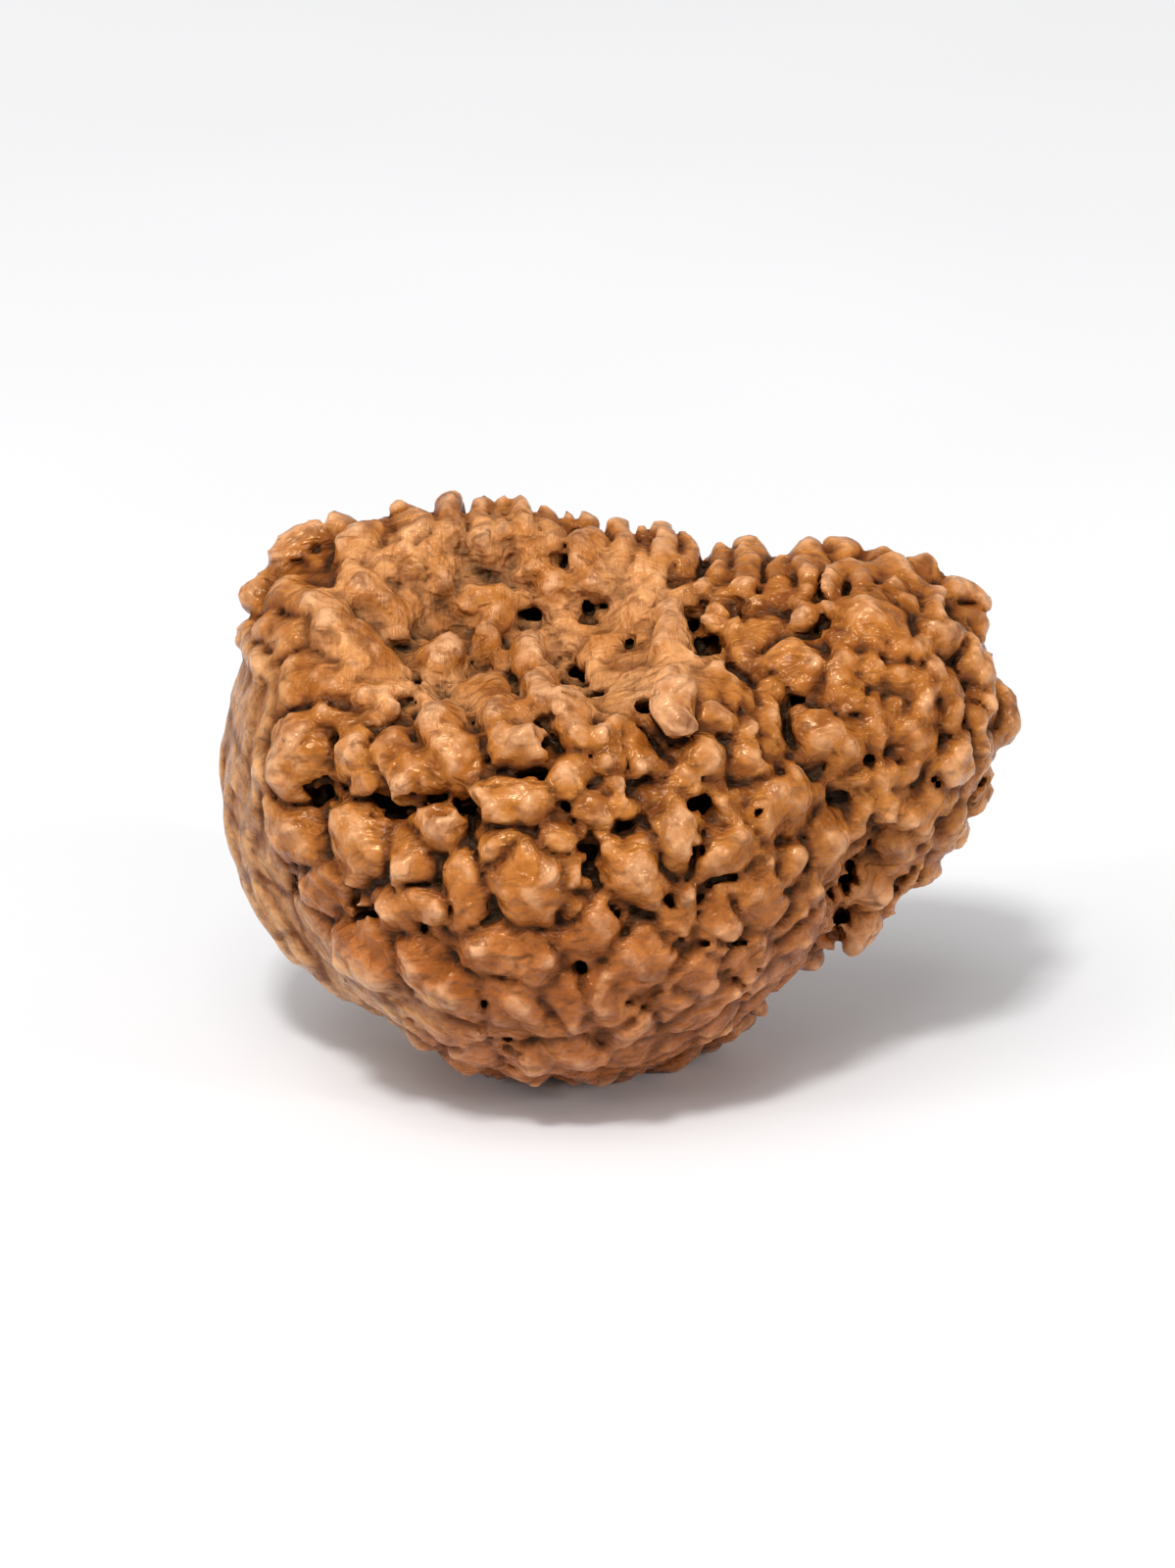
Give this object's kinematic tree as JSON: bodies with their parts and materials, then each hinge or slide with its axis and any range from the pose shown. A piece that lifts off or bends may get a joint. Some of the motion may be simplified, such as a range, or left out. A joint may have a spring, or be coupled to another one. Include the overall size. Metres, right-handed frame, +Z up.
{
  "type": "rudraksha seed",
  "caption": "Half-moon shaped dried seed with a knobbed, ridged and deeply pitted skin and a hollowed upper side; lies on a small flat spot.",
  "frame": {"origin": "on the flat resting spot's plane, under the middle of the bounding box", "axes": "+X along the seed's longest extent, towards its beaked end; +Z up; the hollowed side with the deepest pits faces -Y"},
  "size_m": [0.0306, 0.0186, 0.021],
  "materials": {
    "seed": "hard woody stone, waxy sheen on the knobs, dark in the pits"
  },
  "bodies": {
    "root": {"seed": "seed"}
  },
  "joints": []
}
